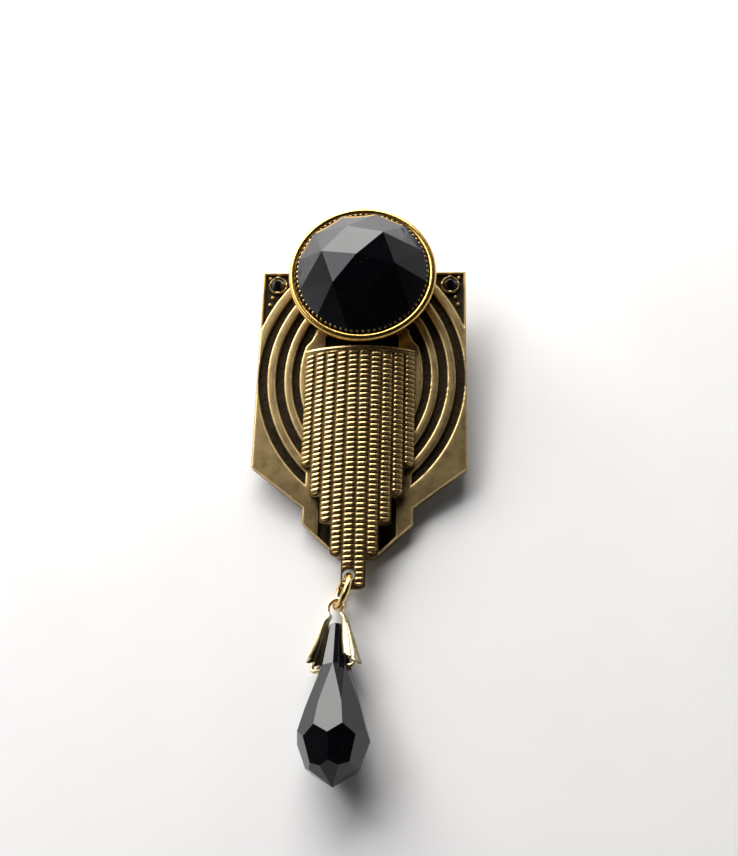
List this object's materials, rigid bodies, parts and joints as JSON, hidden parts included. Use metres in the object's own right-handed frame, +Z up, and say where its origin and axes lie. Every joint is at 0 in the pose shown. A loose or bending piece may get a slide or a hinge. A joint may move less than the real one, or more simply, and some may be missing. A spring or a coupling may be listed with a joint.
{
  "type": "brooch",
  "caption": "Art-deco style brooch: stepped ribbed fringe and large round faceted stone on a pointed relief plate, with a hinged pin behind and a faceted glass drop below.",
  "frame": {"origin": "on the table, under the centre of the whole brooch's box as it lies face up", "axes": "+Z up from the table, +Y towards the brooch's top, +X to the right of its face"},
  "size_m": [0.028, 0.075, 0.0148],
  "materials": {
    "antiqued_plate": "antiqued, satin on the raised bands and near black in the recesses",
    "stamped_brass": "satin, dark between the ribs",
    "polished_gold_brass": "polished",
    "pale_brass": "satin, tarnished inside",
    "raw_brass": "plain",
    "pin_steel": "drawn wire",
    "black_glass": "opaque, faceted and polished"
  },
  "bodies": {
    "brooch_body": {"base_plate": "antiqued_plate", "bezel_ring": "polished_gold_brass", "setting_cup": "antiqued_plate", "cup_rivet": "raw_brass", "main_stone": "black_glass", "corner_stone_right": "black_glass", "corner_stone_left": "black_glass", "fringe_panel": "stamped_brass", "panel_rivet_upper": "raw_brass", "panel_rivet_lower": "raw_brass", "pin_bar": "raw_brass", "hinge_rivet": "raw_brass", "catch_body": "raw_brass"},
    "stem": {"pin_stem": "pin_steel"},
    "lock": {"catch_lock": "raw_brass"},
    "ring": {"jump_ring": "polished_gold_brass"},
    "bail": {"pinch_bail": "pale_brass"},
    "drop": {"pendant_drop": "black_glass"}
  },
  "joints": [
    {"name": "stem_hinge", "type": "hinge", "parent": "brooch_body", "child": "stem", "pos_m": [-0.0105, 0.02397, 0.00153], "axis": [0, 0.9902, 0.1399], "range_deg": [0, 110]},
    {"name": "lock_turn", "type": "hinge", "parent": "brooch_body", "child": "lock", "pos_m": [0.0095, 0.02397, 0.00153], "axis": [-1, 0, 0], "range_deg": [0, 150]},
    {"name": "ring_swing", "type": "hinge", "parent": "brooch_body", "child": "ring", "pos_m": [-0.0007, -0.01265, 0.00267], "axis": [0.8998, -0.252, -0.3561], "range_deg": [-10, 10]},
    {"name": "bail_swing", "type": "hinge", "parent": "ring", "child": "bail", "pos_m": [-0.00206, -0.01655, 0.00217], "axis": [-0.2939, 0.253, -0.9217], "range_deg": [-14, 8]},
    {"name": "drop_swing", "type": "hinge", "parent": "bail", "child": "drop", "pos_m": [-0.00175, -0.02402, 0.00305], "axis": [0.9079, 0.0888, 0.4097], "range_deg": [-30, 30]}
  ]
}
